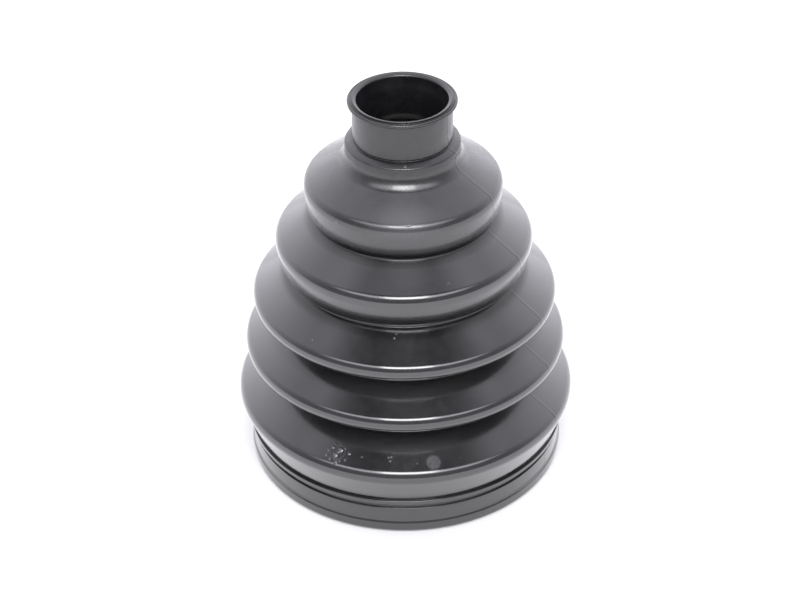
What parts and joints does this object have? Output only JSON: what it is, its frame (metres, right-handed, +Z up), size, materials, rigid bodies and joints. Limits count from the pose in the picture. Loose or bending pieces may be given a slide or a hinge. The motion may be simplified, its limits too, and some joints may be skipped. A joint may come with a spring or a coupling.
{
  "type": "rubber bellows boot",
  "caption": "Tapering black rubber bellows boot with round folds, a wide clamped collar at the big end and a flanged sleeve at the small end.",
  "frame": {"origin": "centre of the big end's lower rim, on the boot's axis", "axes": "+Z up the axis from the big end to the small end; the boot is round about Z"},
  "size_m": [0.102, 0.102, 0.1211],
  "materials": {
    "rubber": "satin moulded black"
  },
  "bodies": {
    "root": {"bellows_boot": "rubber"}
  },
  "joints": []
}
